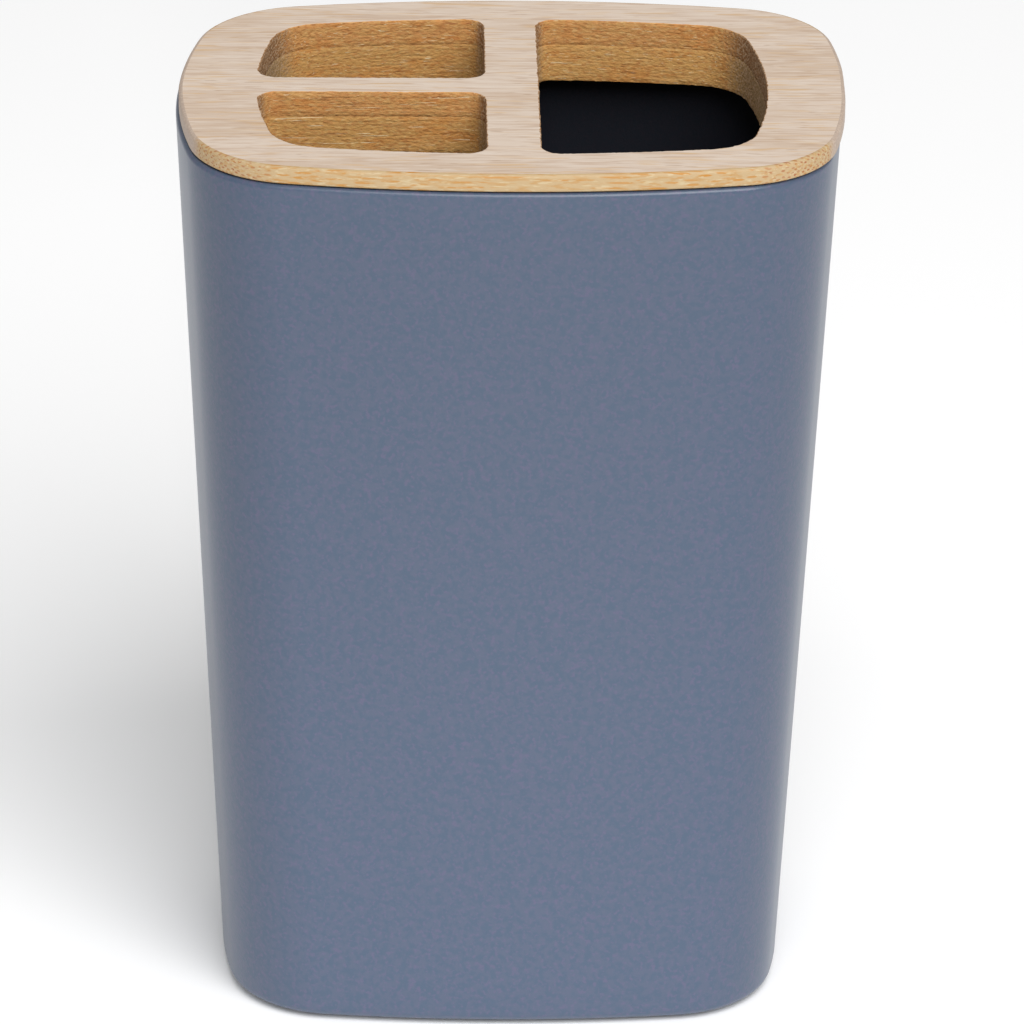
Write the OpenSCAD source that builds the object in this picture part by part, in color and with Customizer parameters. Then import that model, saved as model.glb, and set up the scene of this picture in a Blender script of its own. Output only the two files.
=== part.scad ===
// Toothbrush holder: a tapered moulded tumbler with a lift-off bamboo lid.
// Millimetres. +Z is up, the front is towards -Y, and z = 0 is the surface it stands on.
// The lid has one long opening on the right and two short ones on the left.

/* [Tumbler] */
// Length of the rim, left to right
rim_l = 84.5; // [76:0.5:100]
// Width of the rim, front to back
rim_w = 59.3; // [54:0.1:70]
// Bow radius of the long front and rear sides at the rim
rim_long_r = 177; // [130:1:300]
// Bow radius of the short left and right sides at the rim
rim_short_r = 76; // [60:1:140]
// Radius of the four corners at the rim
rim_corner_r = 14.7; // [12:0.1:20]
// Length of the base, left to right
base_l = 73; // [66:0.5:84]
// Width of the base, front to back
base_w = 47.8; // [44:0.1:59]
// Bow radius of the long sides at the base
base_long_r = 192; // [130:1:300]
// Bow radius of the short sides at the base
base_short_r = 56; // [50:1:140]
// Radius of the four corners at the base
base_corner_r = 14; // [12:0.1:18]
// Height from the foot ring to the rim
tumbler_h = 119.5; // [90:0.5:150]
// Thickness of the side wall
wall = 2.2; // [1.8:0.1:3]
// Thickness of the floor
floor_t = 2.4; // [1.8:0.1:4]
// Rounding of each edge of the rim
rim_round = 0.7; // [0.3:0.1:0.8]
// Rounding round the outside of the foot
foot_round = 1.4; // [0.5:0.1:2.5]
// Fillet between the wall and the floor, inside
floor_fillet = 4; // [2:0.5:5]

/* [Underside] */
// Width of the ring that stands proud round the base
foot_ring_w = 2.6; // [1.5:0.1:4]
// Depth of the recess inside that ring
foot_ring_h = 1; // [0.6:0.1:1.4]
// Slope of the recess wall, across its depth
foot_ring_draft = 0.3; // [0.1:0.1:0.6]
// Width of the gate dimple in the middle of the recess
gate_d = 5; // [3:0.5:8]
// Depth of the gate dimple
gate_depth = 0.4; // [0.2:0.1:0.8]

/* [Anti-slip pads] */
// Diameter of a pad
pad_d = 8; // [6:0.5:9]
// Thickness of a pad
pad_t = 1.8; // [1.75:0.05:2.4]
// Chamfer round the face that a pad stands on
pad_chamfer = 0.3; // [0.1:0.1:0.5]
// Depth of the pocket that a pad is glued into
pad_pocket = 0.3; // [0.1:0.05:0.35]
// Side clearance of a pad in its pocket
pad_fit = 0.1; // [0.05:0.05:0.3]
// Distance of a pad's centre from the left or right end of the base
pad_from_end = 14; // [12:0.5:22]
// Distance of a pad's centre from the front or rear of the base
pad_from_side = 11; // [10:0.5:15]

/* [Lid] */
// Distance that the lid's edge stays inside the rim at the front and rear
lid_step_side = 0.25; // [0:0.05:1]
// Distance that the lid's edge stays inside the rim at the left and right ends
lid_step_end = 0; // [0:0.05:1]
// Thickness of the flange that rests on the rim
flange_t = 2.5; // [2:0.1:4]
// Depth of the plug that reaches down inside the rim
plug_depth = 5.9; // [4:0.1:9]
// Thickness of the upper bamboo layer, flange included
face_layer_t = 3.4; // [2.6:0.1:5]
// Side clearance between the foot of the plug and the wall
lid_play = 0.75; // [0.5:0.05:1]
// Share of that clearance by which the lid lies to the right of centre
lid_lean = 0.53; // [0:0.01:0.55]
// Rounding of the top edge
lid_round = 0.5; // [0.2:0.1:0.8]
// Chamfer of the flange's lower edge
lid_arris = 0.3; // [0.1:0.1:0.8]
// Chamfer of the plug's lower edge
plug_chamfer = 0.6; // [0.2:0.1:1]

/* [Openings] */
// Width of the border at the left and right ends
border_end = 10.1; // [8.5:0.1:14]
// Width of the border at the front and rear
border_side = 7; // [6.5:0.1:11]
// Width of the bar between the left and right openings
mid_bar_w = 6.8; // [4:0.1:10]
// Width of the bar between the two left openings
cross_bar_w = 4.9; // [3:0.1:8]
// Corner radius at the outer ends of the openings
slot_outer_r = 6.9; // [4:0.1:9]
// Corner radius beside the bars
slot_inner_r = 2.4; // [1:0.1:3.5]
// Chamfer round each opening, above and below
slot_ease = 0.12; // [0.1:0.01:0.5]

/* [Hidden] */

// Each pad's name and the sides of the base that it stands at
PADS = [["foot_pad_front_left", -1, -1], ["foot_pad_front_right", 1, -1],
        ["foot_pad_rear_left", -1, 1], ["foot_pad_rear_right", 1, 1]];

// Facets of one quarter of an outline: short side, corner, long side
short_steps = 5;
corner_steps = 11;
long_steps = 7;
// Facets of a rounded edge and of a fillet, seen in section
edge_steps = 4;
fillet_steps = 6;
// Facets of a full circle at the openings' inner corners, and of any other circle
slot_facets = 40;
$fn = 64;
// Overlap of a cutting tool past the face that it cuts, and thickness of a slab for a hull
past = 1;
thin = 0.01;

blue = "#6b7689";
bamboo = "#d9c1ad";
bamboo_cut = "#b98b54";
silicone = "#c9cdd0";

// An outline is [half length, half width, long bow radius, short bow radius, corner radius]
rim_outline = [rim_l / 2, rim_w / 2, rim_long_r, rim_short_r, rim_corner_r];
base_outline = [base_l / 2, base_w / 2, base_long_r, base_short_r, base_corner_r];

foot_z = pad_t - foot_ring_h - pad_pocket;
rim_z = foot_z + tumbler_h;
recess_z = foot_z + foot_ring_h;
floor_z = recess_z + floor_t;
rim_r = min(rim_round, 0.45 * wall);

lid_top_z = rim_z + flange_t;
plug_z = rim_z - plug_depth;
layer_z = lid_top_z - face_layer_t;
lid_shift = lid_play * lid_lean;
lid_outline = [rim_outline[0] - lid_step_end, rim_outline[1] - lid_step_side,
               rim_outline[2] - lid_step_side, rim_outline[3] - lid_step_end,
               rim_outline[4] - lid_step_side];
plug_outline = inset(tumbler_outline(plug_z), wall + lid_play);
slots_outline = [lid_outline[0] - border_end, lid_outline[1] - border_side,
                 lid_outline[2] - border_side, lid_outline[3] - border_end, slot_outer_r];

pad_x = base_l / 2 - pad_from_end;
pad_y = base_w / 2 - pad_from_side;

// Outline drawn in by a distance: every arc keeps its centre
function inset(o, d) = [for (v = o) v - d];

// Outside outline of the tumbler at a height, on straight sides from base to rim
function tumbler_outline(z) =
    let (t = (z - foot_z) / tumbler_h)
    base_outline + t * (rim_outline - base_outline);

// Centre of the corner arc, which touches both bowed sides
function corner_centre(o) =
    let (long_y = o[1] - o[2],
         short_x = o[0] - o[3],
         long_reach = o[2] - o[4],
         short_reach = o[3] - o[4],
         gap = norm([short_x, long_y]),
         along = (long_reach * long_reach - short_reach * short_reach + gap * gap) / (2 * gap),
         across = sqrt(long_reach * long_reach - along * along),
         u = [short_x, -long_y] / gap)
    [u[0] * along + u[1] * across, long_y + u[1] * along - u[0] * across];

// Points of an arc, without its last one
function arc(centre, r, from, to, steps) =
    [for (i = [0 : steps - 1])
        let (a = from + (to - from) * i / steps)
        centre + r * [cos(a), sin(a)]];

// First quarter of an outline, from its right end to its rear
function quarter(o) =
    let (c = corner_centre(o),
         long_c = [0, o[1] - o[2]],
         short_c = [o[0] - o[3], 0],
         short_a = atan2(c[1], c[0] - short_c[0]),
         long_a = atan2(c[1] - long_c[1], c[0]))
    concat(arc(short_c, o[3], 0, short_a, short_steps),
           arc(c, o[4], short_a, long_a, corner_steps),
           arc(long_c, o[2], long_a, 90, long_steps));

// Whole outline, anticlockwise: the quarter and its three reflections
function outline_points(o) =
    let (q = quarter(o),
         n = len(q),
         rear = [0, o[1]],
         left = [-o[0], 0],
         front = [0, -o[1]])
    concat(q,
           [rear], [for (i = [n - 1 : -1 : 1]) [-q[i][0], q[i][1]]],
           [left], [for (i = [1 : n - 1]) -q[i]],
           [front], [for (i = [n - 1 : -1 : 1]) [q[i][0], -q[i][1]]]);

// A section is [height, outline]. A closed solid is lofted through a list of sections, with flat ends.
module loft(sections) {
    rings = [for (s = sections) [for (p = outline_points(s[1])) [p[0], p[1], s[0]]]];
    n = len(rings[0]);
    m = len(rings);
    sides = [for (j = [0 : m - 2], i = [0 : n - 1])
        let (k = (i + 1) % n,
             a = j * n + i,
             b = j * n + k,
             c = a + n,
             d = b + n)
        each [[a, c, b], [b, c, d]]];
    first_end = [for (i = [0 : n - 1]) i];
    last_end = [for (i = [n - 1 : -1 : 0]) (m - 1) * n + i];
    polyhedron([for (r = rings) each r], concat([first_end, last_end], sides));
}

// Sections of the tumbler's skin: under the floor, round the foot, up the outside,
// over the rim and down the inside to the floor
function under_sections() =
    let (ring_in = foot_round + foot_ring_w)
    [[recess_z, inset(base_outline, ring_in + foot_ring_draft)],
     [foot_z, inset(base_outline, ring_in)]];

function foot_sections() =
    [for (i = [0 : fillet_steps])
        let (a = 90 * i / fillet_steps,
             z = foot_z + foot_round * (1 - cos(a)))
        [z, inset(tumbler_outline(z), foot_round * (1 - sin(a)))]];

function rim_sections() =
    [for (side = [0, 1], i = [0 : edge_steps])
        let (a = side == 0 ? 90 * i / edge_steps : 90 - 90 * i / edge_steps,
             z = rim_z - rim_r * (1 - sin(a)),
             in = rim_r * (1 - cos(a)))
        [z, inset(tumbler_outline(z), side == 0 ? in : wall - in)]];

function floor_sections() =
    [for (i = [0 : fillet_steps])
        let (a = 90 * i / fillet_steps,
             z = floor_z + floor_fillet * (1 - sin(a)))
        [z, inset(tumbler_outline(z), wall + floor_fillet * (1 - cos(a)))]];

module tumbler() {
    color(blue)
    difference() {
        loft(concat(under_sections(), foot_sections(), rim_sections(), floor_sections()));
        translate([0, 0, recess_z - past])
            cylinder(d = gate_d, h = past + gate_depth);
        for (p = PADS)
            translate([p[1] * pad_x, p[2] * pad_y, recess_z - past])
                cylinder(d = pad_d + 2 * pad_fit, h = past + pad_pocket);
    }
}

// Shape of one opening from above. Side is 1 for the right one; row is 1 or -1 for a left one.
module slot_shape(side, row) {
    bar_x = mid_bar_w / 2;
    bar_y = row == 0 ? -rim_w : cross_bar_w / 2;
    offset(r = slot_inner_r, $fn = slot_facets)
    offset(delta = -slot_inner_r)
    intersection() {
        polygon(outline_points(slots_outline));
        mirror([side < 0 ? 1 : 0, 0])
        mirror([0, row < 0 ? 1 : 0])
        translate([bar_x, bar_y])
            square([rim_l, 2 * rim_w]);
    }
}

// Thin slab of an opening's shape, grown by a distance, with its middle at height z
module slot_slab(side, row, z, grow) {
    translate([0, 0, z])
    linear_extrude(thin, center = true)
    offset(delta = grow)
        slot_shape(side, row);
}

// Chamfer of one opening on a face at height z that looks up (1) or down (-1): a tool with
// 45 degree sides that starts inside the opening and ends past the face
module slot_flare(side, row, z, face) {
    hull() {
        slot_slab(side, row, z - 2 * face * slot_ease, -slot_ease);
        slot_slab(side, row, z + face * past, past + slot_ease);
    }
}

// Cutters of the three openings, with a chamfer where they leave the face at height z
module slot_cutters(z, face) {
    for (slot = [[1, 0], [-1, 1], [-1, -1]]) {
        translate([0, 0, plug_z - past])
        linear_extrude(lid_top_z - plug_z + 2 * past)
            slot_shape(slot[0], slot[1]);
        slot_flare(slot[0], slot[1], z, face);
    }
}

// Sections of the lid's edge, from the foot of the flange up to the top
function flange_sections() = concat(
    [[rim_z, inset(lid_outline, lid_arris)],
     [rim_z + lid_arris, lid_outline]],
    [for (i = [0 : edge_steps])
        let (a = 90 * i / edge_steps)
        [lid_top_z - lid_round * (1 - sin(a)), inset(lid_outline, lid_round * (1 - cos(a)))]]);

module lid_face_layer() {
    color(bamboo)
    translate([lid_shift, 0, 0])
    difference() {
        loft(concat([[layer_z, plug_outline], [rim_z, plug_outline]], flange_sections()));
        slot_cutters(lid_top_z, 1);
    }
}

module lid_plug_layer() {
    color(bamboo_cut)
    translate([lid_shift, 0, 0])
    difference() {
        loft([[plug_z, inset(plug_outline, plug_chamfer)],
              [plug_z + plug_chamfer, plug_outline],
              [layer_z, plug_outline]]);
        slot_cutters(plug_z, -1);
    }
}

module foot_pad(side, row) {
    r = pad_d / 2;
    color(silicone)
    translate([side * pad_x, row * pad_y, 0])
    rotate_extrude()
        polygon([[0, 0], [r - pad_chamfer, 0], [r, pad_chamfer], [r, pad_t], [0, pad_t]]);
}

tumbler();
lid_face_layer();
lid_plug_layer();
for (p = PADS)
    foot_pad(p[1], p[2]);
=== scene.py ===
"""A toothbrush holder: a moulded tumbler in matt dusty blue with a lift-off lid of laminated bamboo.

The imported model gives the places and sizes. This script dresses it: every piece is modelled again with
smooth arcs, rounded edges and the marks of the router and the sander, and gets the finish of the real one.
Lengths are millimetres and angles degrees, and a mesh is turned to metres when its piece is finished.
"""

import logging
import math
from collections.abc import Iterable, Sequence
from dataclasses import astuple, dataclass, replace
from enum import Enum, IntEnum
from functools import cache

import bmesh
import bpy
from mathutils import Matrix, Vector, noise


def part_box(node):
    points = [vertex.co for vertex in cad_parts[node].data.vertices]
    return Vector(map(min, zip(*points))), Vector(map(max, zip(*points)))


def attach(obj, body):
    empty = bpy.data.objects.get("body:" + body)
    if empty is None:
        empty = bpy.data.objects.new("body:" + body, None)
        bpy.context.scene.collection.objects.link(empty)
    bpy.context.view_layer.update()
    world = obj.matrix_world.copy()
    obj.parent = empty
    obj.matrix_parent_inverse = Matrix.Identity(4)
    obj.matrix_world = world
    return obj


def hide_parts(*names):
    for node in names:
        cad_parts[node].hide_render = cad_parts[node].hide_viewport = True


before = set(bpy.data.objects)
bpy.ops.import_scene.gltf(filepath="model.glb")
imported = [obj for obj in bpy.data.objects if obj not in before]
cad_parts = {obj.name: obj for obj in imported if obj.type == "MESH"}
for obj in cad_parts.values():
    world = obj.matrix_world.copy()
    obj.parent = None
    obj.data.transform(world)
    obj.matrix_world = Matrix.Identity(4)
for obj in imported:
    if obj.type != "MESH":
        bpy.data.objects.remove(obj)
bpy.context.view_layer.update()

LOG = logging.getLogger("toothbrush_holder")

# One millimetre in Blender's metres
MM = 0.001
# Points closer than this are one point
MERGE = 0.002
# Edges that bend more than this stay crisp
CRISP_ANGLE = 38.0
# A flat face keeps a band of this width along its rounded edge, where the smooth shading runs out
FLAT_MARGIN = 0.15
# Facets of a pocket or a pad, seen from below
CIRCLE_STEPS = 64
# Facets of a rounded edge, seen in section
ROUND_STEPS = 6
# A quarter round of radius 1 in section, from its flat face to its wall: how far in and how far down
QUARTER_ROUND = [
    (1.0 - math.sin(turn), 1.0 - math.cos(turn))
    for turn in (math.radians(90.0 * step / ROUND_STEPS) for step in range(ROUND_STEPS + 1))
]
# The middle of an edge that is eased in two facets lies this share of its size off both faces
EASE_MIDDLE = 0.3
# The vertex attribute that says how squarely a wall cuts the fibres
END_GRAIN = "end_grain"
# The least sideways part of a normal, so that a level face's end grain isn't divided by zero
LEAST_SIDEWAYS = 0.02
# Seed of the fraying's noise, which would start from the clock without it
FRAY_SEED = 7
# How far each kind of streak is moved from the one before, so that no two fall together
STREAK_SHIFT = 7.0
# Sockets of a Mix node that mixes colours
MIX_FACTOR, MIX_A, MIX_B, MIX_RESULT = 0, 6, 7, 2

PAD_NODES = ("foot_pad_front_left", "foot_pad_front_right", "foot_pad_rear_left", "foot_pad_rear_right")

BMesh = bmesh.types.BMesh
Vert = bmesh.types.BMVert
Loop = Sequence[bmesh.types.BMEdge]
Section = tuple[float, "Outline"]
Tree = bpy.types.NodeTree
Socket = bpy.types.NodeSocket
Triple = tuple[float, float, float]
Colour = tuple[float, float, float, float]


@cache
def cad_box(node: str) -> tuple[Vector, Vector]:
    """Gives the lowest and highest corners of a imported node.

    Args:
        node: The node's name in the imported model.

    Returns:
        Both corners, in millimetres.
    """
    low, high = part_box(node)
    return low / MM, high / MM


def middle(node: str) -> tuple[float, float]:
    """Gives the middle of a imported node, seen from above."""
    low, high = cad_box(node)
    return tuple((low + high).xy / 2.0)


def soft_step(value: float, start: float, full: float) -> float:
    """Gives 0 up to one value, 1 from another and a soft change between."""
    share = min(max((value - start) / (full - start), 0.0), 1.0)
    return share * share * (3.0 - 2.0 * share)


@dataclass(frozen=True)
class Arc:
    """An arc seen from above, drawn from its start to its end."""

    centre: tuple[float, float]
    radius: float
    start: float
    end: float
    steps: int

    def point(self, degrees: float, height: float) -> Vector:
        """Gives the point of the arc at an angle.

        Args:
            degrees: The angle from +X.
            height: The height of the arc's plane.

        Returns:
            The point.
        """
        turn = math.radians(degrees)
        x, y = self.centre
        return Vector((x + self.radius * math.cos(turn), y + self.radius * math.sin(turn), height))

    def moved(self, x: float) -> "Arc":
        """Moves the arc to the right by a distance."""
        return replace(self, centre=(self.centre[0] + x, self.centre[1]))

    def backwards(self) -> "Arc":
        """Gives the same arc, drawn from its end to its start."""
        return replace(self, start=self.end, end=self.start)

    def mirrored(self, flip_x: bool, flip_y: bool) -> "Arc":
        """Mirrors the arc in the planes through the middle of the holder.

        Args:
            flip_x: Whether left and right change places.
            flip_y: Whether front and rear change places.

        Returns:
            The mirrored arc.
        """
        x, y = self.centre
        start, end = self.start, self.end
        if flip_x:
            x, start, end = -x, 180.0 - start, 180.0 - end
        if flip_y:
            y, start, end = -y, -start, -end
        return Arc((x, y), self.radius, start, end, self.steps)


@dataclass(frozen=True)
class Outline:
    """A closed outline of arcs in order. Where two of them don't meet, a straight side joins them."""

    arcs: tuple[Arc, ...]
    straight_step: float = 1.0

    def grown(self, distance: float) -> "Outline":
        """Moves the outline out by a distance, or in by a negative one, with every arc's centre kept."""
        return replace(self, arcs=tuple(replace(arc, radius=arc.radius + distance) for arc in self.arcs))

    def moved(self, x: float) -> "Outline":
        """Moves the outline to the right by a distance."""
        return replace(self, arcs=tuple(arc.moved(x) for arc in self.arcs))

    def mirrored(self, flip_x: bool, flip_y: bool) -> "Outline":
        """Mirrors the outline, as Arc.mirrored does."""
        return replace(self, arcs=tuple(arc.mirrored(flip_x, flip_y) for arc in self.arcs))

    def draw(self, bm: BMesh, height: float) -> Loop:
        """Draws the outline as one closed loop of edges: each arc is a point spun about its centre.

        Args:
            bm: The mesh that is drawn in.
            height: The height of the loop.

        Returns:
            The loop's edges.
        """
        sketch = bmesh.new()
        first = self.arcs[0]
        start = bmesh.ops.create_vert(sketch, co=first.point(first.start, height))["vert"][0]
        tip = start
        for arc, after in zip(self.arcs, self.arcs[1:] + self.arcs[:1]):
            turn = math.radians(arc.end - arc.start)
            tip = spun(sketch, tip, arc.steps, angle=turn, cent=(*arc.centre, height))
            side = after.point(after.start, height) - tip.co
            if side.length > MERGE:
                steps = max(1, round(side.length / self.straight_step))
                tip = spun(sketch, tip, steps, dvec=side / steps)
        bmesh.ops.weld_verts(sketch, targetmap={tip: start})
        return added(bm, sketch)


def circle(centre: tuple[float, float], radius: float) -> Outline:
    """Gives a round outline."""
    return Outline((Arc(centre, radius, 0.0, 360.0, CIRCLE_STEPS),))


def spun(bm: BMesh, vert: Vert, steps: int, **turn: float | Sequence[float]) -> Vert:
    """Draws a line of edges by spinning a vertex round +Z, or by moving it on in steps.

    Args:
        bm: The mesh that is drawn in.
        vert: The vertex at which the line starts.
        steps: The number of edges.
        turn: The spin's angle and centre, or the move of each step.

    Returns:
        The vertex at which the line ends.
    """
    drawn = bmesh.ops.spin(bm, geom=[vert], axis=(0.0, 0.0, 1.0), steps=steps, use_duplicate=False, **turn)
    return drawn["geom_last"][0]


def meshed(bm: BMesh, name: str) -> bpy.types.Mesh:
    """Turns what is modelled into a mesh of its own.

    Args:
        bm: What is modelled, which is freed.
        name: The mesh's name.

    Returns:
        The mesh.
    """
    mesh = bpy.data.meshes.new(name)
    bm.to_mesh(mesh)
    bm.free()
    return mesh


def added(bm: BMesh, sketch: BMesh) -> Loop:
    """Adds a sketch to a mesh from which nothing has been taken away yet.

    Args:
        bm: The mesh that is modelled.
        sketch: The sketch, which is freed.

    Returns:
        The edges that the sketch brought.
    """
    mesh = meshed(sketch, "sketch")
    before = len(bm.edges)
    bm.from_mesh(mesh)
    bpy.data.meshes.remove(mesh)
    bm.edges.ensure_lookup_table()
    return bm.edges[before:]


@dataclass(frozen=True)
class BowedOval:
    """Sizes of an outline with four bowed sides that run into four round corners."""

    half_length: float
    half_width: float
    long_radius: float
    short_radius: float
    corner_radius: float

    def inset(self, distance: float) -> "BowedOval":
        """Draws the outline in by a distance: every arc keeps its centre."""
        return BowedOval(*(size - distance for size in astuple(self)))

    def blended(self, other: "BowedOval", share: float) -> "BowedOval":
        """Gives the outline that lies a share of the way to another one."""
        pairs = zip(astuple(self), astuple(other))
        return BowedOval(*(mine + share * (theirs - mine) for mine, theirs in pairs))

    def long_centre(self) -> tuple[float, float]:
        """Gives the centre of the rear side's arc."""
        return (0.0, self.half_width - self.long_radius)

    def short_centre(self) -> tuple[float, float]:
        """Gives the centre of the right side's arc."""
        return (self.half_length - self.short_radius, 0.0)

    def corner_centre(self) -> tuple[float, float]:
        """Gives the centre of the rear right corner, whose arc touches both bowed sides.

        Returns:
            The point that lies each side's radius less the corner's from that side's centre.
        """
        long_centre, short_centre = Vector(self.long_centre()), Vector(self.short_centre())
        long_reach = self.long_radius - self.corner_radius
        short_reach = self.short_radius - self.corner_radius
        between = short_centre - long_centre
        gap = between.length
        along = (long_reach**2 - short_reach**2 + gap**2) / (2.0 * gap)
        across = math.sqrt(long_reach**2 - along**2)
        unit = between / gap
        return tuple(long_centre + unit * along + Vector((unit.y, -unit.x)) * across)

    def angles(self) -> tuple[float, float]:
        """Gives the angles at which the corner meets the sides.

        Returns:
            The angle at the short side and the one at the long side.
        """
        x, y = self.corner_centre()
        short_angle = math.degrees(math.atan2(y, x - self.short_centre()[0]))
        long_angle = math.degrees(math.atan2(y - self.long_centre()[1], x))
        return short_angle, long_angle

    def outline(self, short_steps: int, corner_steps: int, long_steps: int) -> Outline:
        """Gives the whole outline, anticlockwise from the right side.

        Args:
            short_steps: Facets of each short side.
            corner_steps: Facets of each corner.
            long_steps: Facets of each long side.

        Returns:
            The outline of eight arcs.
        """
        short_angle, long_angle = self.angles()
        right = Arc(self.short_centre(), self.short_radius, -short_angle, short_angle, short_steps)
        corner = Arc(self.corner_centre(), self.corner_radius, short_angle, long_angle, corner_steps)
        rear = Arc(self.long_centre(), self.long_radius, long_angle, 180.0 - long_angle, long_steps)
        return Outline(
            (
                right,
                corner,
                rear,
                corner.mirrored(True, False).backwards(),
                right.mirrored(True, False).backwards(),
                corner.mirrored(True, True),
                rear.mirrored(False, True).backwards(),
                corner.mirrored(False, True).backwards(),
            )
        )


def rounded_edge(height: float, drop: float, inset: float, outline: Outline) -> list[Section]:
    """Gives the sections of a quarter round that turns from a flat face to an upright wall.

    Args:
        height: The height of the flat face.
        drop: How far the wall starts below the face, or above it if negative.
        inset: How far the round reaches in from the wall.
        outline: The wall's outline.

    Returns:
        The sections from the flat face to the wall.
    """
    return [(height - drop * down, outline.grown(-inset * inward)) for inward, down in QUARTER_ROUND]


def loft(
    bm: BMesh, sections: Iterable[Section], finish: int = 0, start: Loop | None = None
) -> tuple[Loop, Loop]:
    """Draws a loop of edges for each section and bridges each one to the next.

    Two loops in one plane could be bridged crosswise, so each loop is drawn a step above the one before and
    is brought to its own height at the end.

    Args:
        bm: The mesh that is modelled.
        sections: Heights and outlines, in order.
        finish: The material slot of the new faces.
        start: A loop that is there already and that the first section is bridged to.

    Returns:
        The first loop and the last one.
    """
    loops = [list(start)] if start else []
    level = start[0].verts[0].co.z if start else 0.0
    drawn = []
    for step, (height, outline) in enumerate(sections, 1):
        loop = outline.draw(bm, level + step)
        if loops:
            for face in bmesh.ops.bridge_loops(bm, edges=loops[-1] + loop)["faces"]:
                face.material_index = finish
        loops.append(loop)
        drawn.append((height, loop))
    for height, loop in drawn:
        for edge in loop:
            for vert in edge.verts:
                vert.co.z = height
    return loops[0], loops[-1]


def cap(bm: BMesh, *loops: Loop, finish: int = 0) -> None:
    """Closes a flat face inside the first loop, with the other loops as holes in it.

    Args:
        bm: The mesh that is modelled.
        loops: The loops of edges that bound the face.
        finish: The material slot of the new faces.
    """
    edges = [edge for loop in loops for edge in loop]
    made = bmesh.ops.triangle_fill(bm, edges=edges, use_beauty=True, normal=(0.0, 0.0, 1.0))
    for part in made["geom"]:
        if isinstance(part, bmesh.types.BMFace):
            part.material_index = finish


def put(name: str, data: bpy.types.ID) -> bpy.types.Object:
    """Puts a mesh, a light or a camera into the scene.

    Args:
        name: The object's name.
        data: What the object shows.

    Returns:
        The object.
    """
    thing = bpy.data.objects.new(name, data)
    bpy.context.scene.collection.objects.link(thing)
    return thing


def finished_piece(
    bm: BMesh, name: str, finishes: Sequence[bpy.types.Material], body: str, node: str
) -> bpy.types.Object:
    """Turns a modelled mesh into a piece that rides on its body and stands for its node.

    Args:
        bm: The mesh in millimetres, which is freed.
        name: The piece's name.
        finishes: The piece's materials, by slot.
        body: The body that the piece rides on.
        node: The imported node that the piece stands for.

    Returns:
        The piece.
    """
    bmesh.ops.remove_doubles(bm, verts=bm.verts, dist=MERGE)
    bmesh.ops.recalc_face_normals(bm, faces=bm.faces)
    bmesh.ops.scale(bm, vec=(MM, MM, MM), verts=bm.verts)
    mesh = meshed(bm, name)
    mesh.shade_smooth()
    mesh.set_sharp_from_angle(angle=math.radians(CRISP_ANGLE))
    for finish in finishes:
        mesh.materials.append(finish)
    piece = put(name, mesh)
    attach(piece, body)
    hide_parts(node)
    LOG.info("%s: %d faces, rides on %s", name, len(mesh.polygons), body)
    return piece


def mark_end_grain(piece: bpy.types.Object) -> None:
    """Writes to each vertex how squarely its wall cuts the fibres, which run along X.

    Args:
        piece: A finished wooden piece.
    """
    normals = [vertex.normal for vertex in piece.data.vertices]
    squarely = [abs(normal.x) / max(normal.xy.length, LEAST_SIDEWAYS) for normal in normals]
    piece.data.attributes.new(END_GRAIN, "FLOAT", "POINT").data.foreach_set("value", squarely)


def linear(colour: str) -> Colour:
    """Turns an sRGB hex colour into Blender's linear colour, by the sRGB standard's curve.

    Args:
        colour: The colour, such as "#6b7689".

    Returns:
        Red, green, blue and an alpha of 1.
    """
    channels = []
    for place in (1, 3, 5):
        value = int(colour[place : place + 2], 16) / 255.0
        channels.append(value / 12.92 if value <= 0.04045 else ((value + 0.055) / 1.055) ** 2.4)
    return (*channels, 1.0)


def add(tree: Tree, kind: str, values: dict[str | int, object]) -> bpy.types.Node:
    """Adds one node with its settings and links.

    Args:
        tree: The material's or world's node tree.
        kind: The node's type name.
        values: Settings by the name of a property, or by the name or number of an input. A socket is
            linked to its input.

    Returns:
        The node.
    """
    node = tree.nodes.new(kind)
    for key, value in values.items():
        if isinstance(value, Socket):
            tree.links.new(value, node.inputs[key])
        elif isinstance(key, str) and hasattr(node, key):
            setattr(node, key, value)
        else:
            node.inputs[key].default_value = value
    return node


def new_material(name: str) -> tuple[bpy.types.Material, Tree]:
    """Starts a material with an empty node tree.

    Args:
        name: The finish, in a maker's words.

    Returns:
        The material and its tree.
    """
    material = bpy.data.materials.new(name)
    material.use_nodes = True
    material.node_tree.nodes.clear()
    return material, material.node_tree


def millimetres(tree: Tree) -> Socket:
    """Gives the place on the object, in millimetres."""
    place = add(tree, "ShaderNodeTexCoord", {}).outputs["Object"]
    return add(tree, "ShaderNodeMapping", {"Scale": (1.0 / MM,) * 3, "Vector": place}).outputs["Vector"]


def cut_across(tree: Tree, start: float, full: float) -> Socket:
    """Gives where a wall cuts the fibres, with a soft change between two levels of its end grain.

    Args:
        tree: The material's tree.
        start: The level that gives 0.
        full: The level that gives 1.

    Returns:
        The pattern, from 0 to 1.
    """
    squarely = add(tree, "ShaderNodeAttribute", {"attribute_name": END_GRAIN}).outputs["Fac"]
    levels = {"interpolation_type": "SMOOTHSTEP", "Value": squarely, "From Min": start, "From Max": full}
    return add(tree, "ShaderNodeMapRange", levels).outputs["Result"]


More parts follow.
